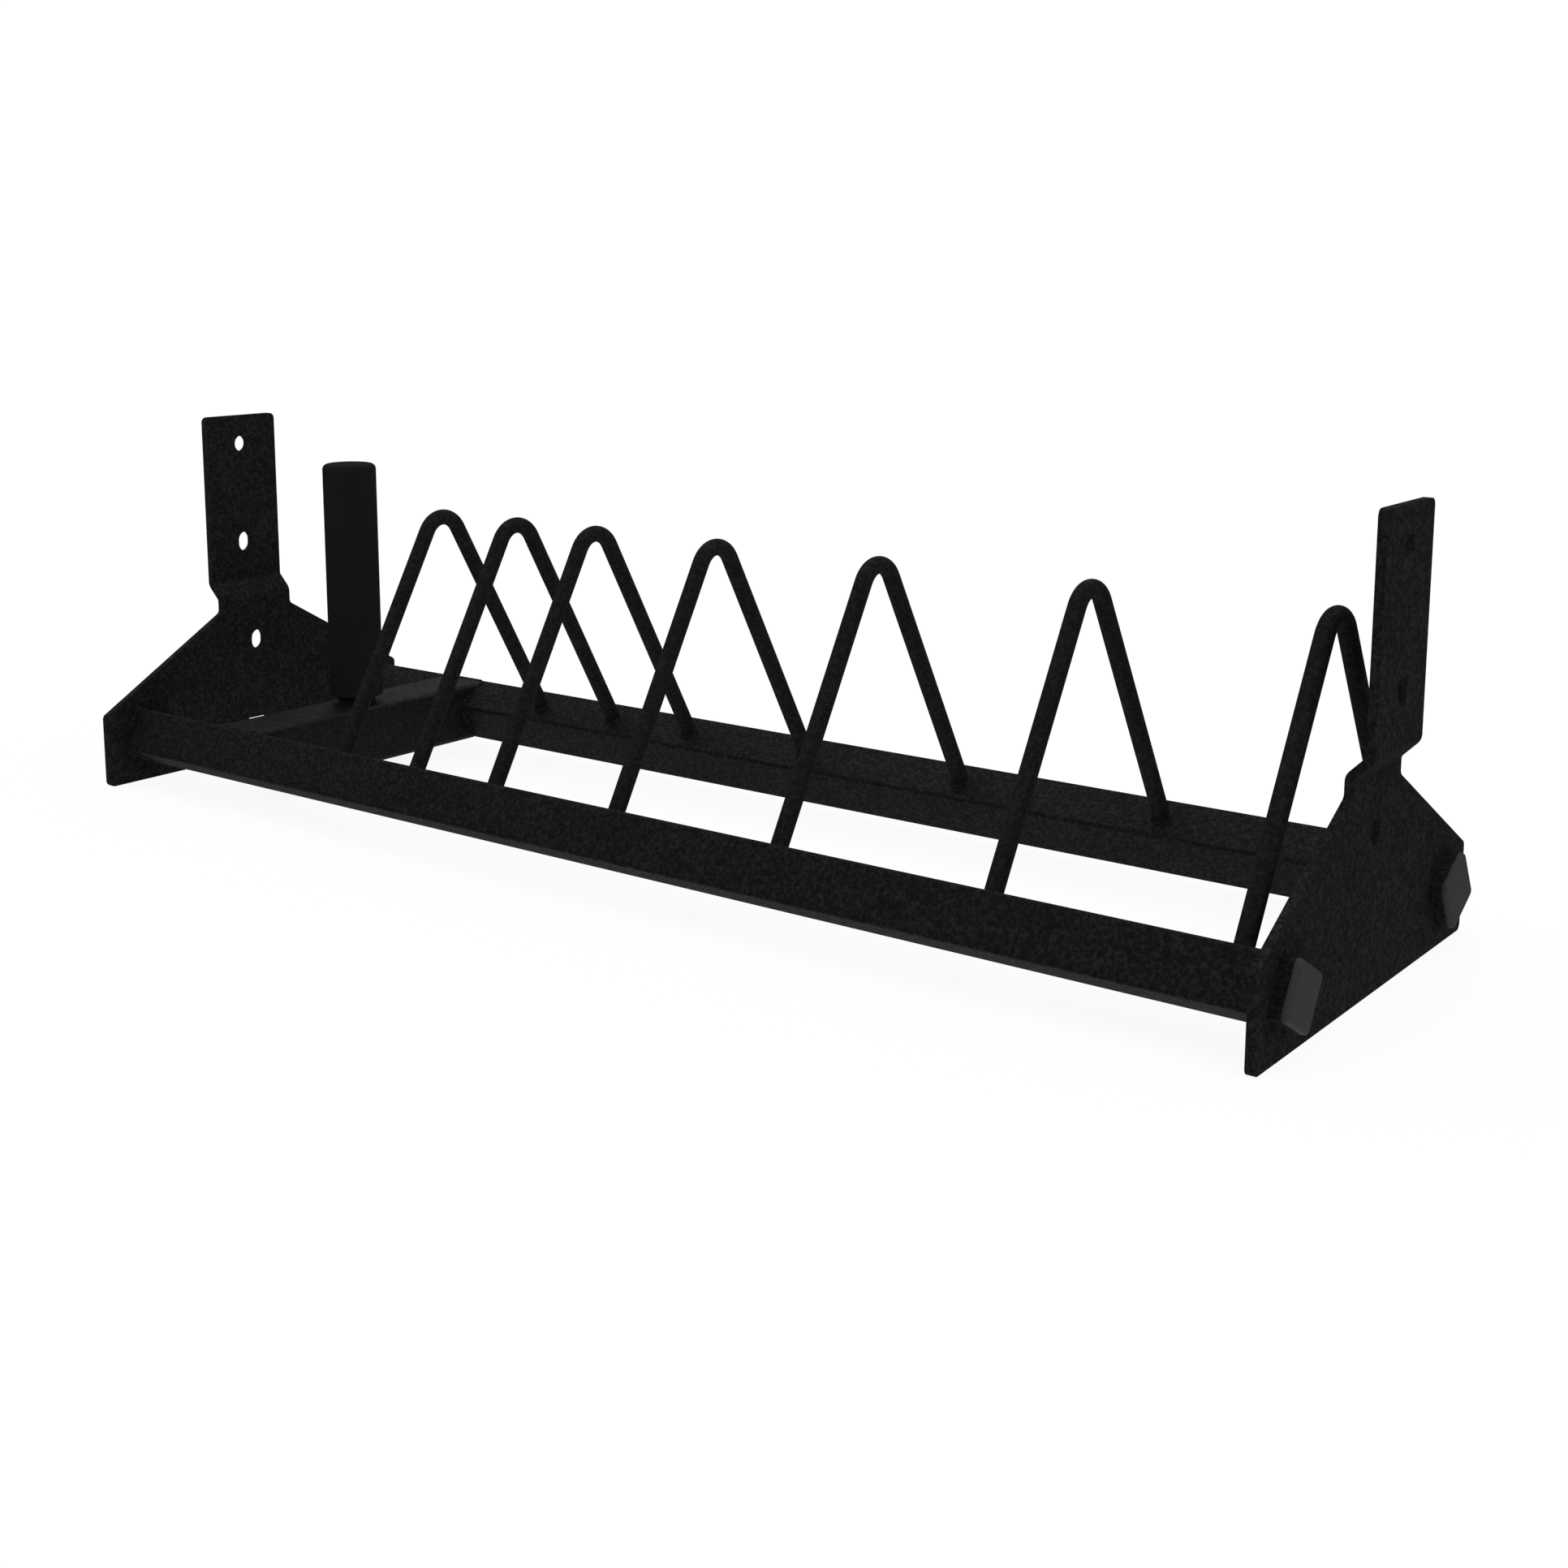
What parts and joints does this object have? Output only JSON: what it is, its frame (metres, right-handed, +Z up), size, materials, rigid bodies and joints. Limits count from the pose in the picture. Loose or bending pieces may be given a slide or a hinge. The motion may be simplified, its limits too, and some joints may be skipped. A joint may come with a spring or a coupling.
{
  "type": "bumper plate rack",
  "caption": "Black steel bumper plate rack: two tilted square rails between joggled end plates, bent-rod dividers and an upright post for small plates.",
  "frame": {"origin": "on the ground plane under the middle of the rack, level with the end plates' bottom edges", "axes": "+X along the rails from the post end to the other end, +Y from the front rail to the rear rail, +Z up"},
  "size_m": [1.083, 0.329, 0.3087],
  "materials": {
    "plate_coat": "textured black powder coat",
    "rail_coat": "textured black powder coat",
    "cross_member_coat": "textured black powder coat",
    "rod_coat": "textured black powder coat",
    "weld_coat": "weld beads under the same black powder coat",
    "end_cap_plastic": "grey moulded plastic, finely grained",
    "sleeve_plastic": "smooth black plastic with a low sheen"
  },
  "bodies": {
    "root": {"end_plate_left": "plate_coat", "end_plate_right": "plate_coat", "rail_front": "rail_coat", "rail_rear": "rail_coat", "end_cap_front_left": "end_cap_plastic", "end_cap_front_right": "end_cap_plastic", "end_cap_rear_left": "end_cap_plastic", "end_cap_rear_right": "end_cap_plastic", "cross_member": "cross_member_coat", "post_tube": "cross_member_coat", "post_sleeve": "sleeve_plastic", "divider_1": "rod_coat", "divider_2": "rod_coat", "divider_3": "rod_coat", "divider_4": "rod_coat", "divider_5": "rod_coat", "divider_6": "rod_coat", "divider_7": "rod_coat", "rod_welds_front": "weld_coat", "rod_welds_rear": "weld_coat", "rail_welds_left": "weld_coat", "rail_welds_right": "weld_coat", "cross_member_welds": "weld_coat", "post_weld": "weld_coat"}
  },
  "joints": []
}
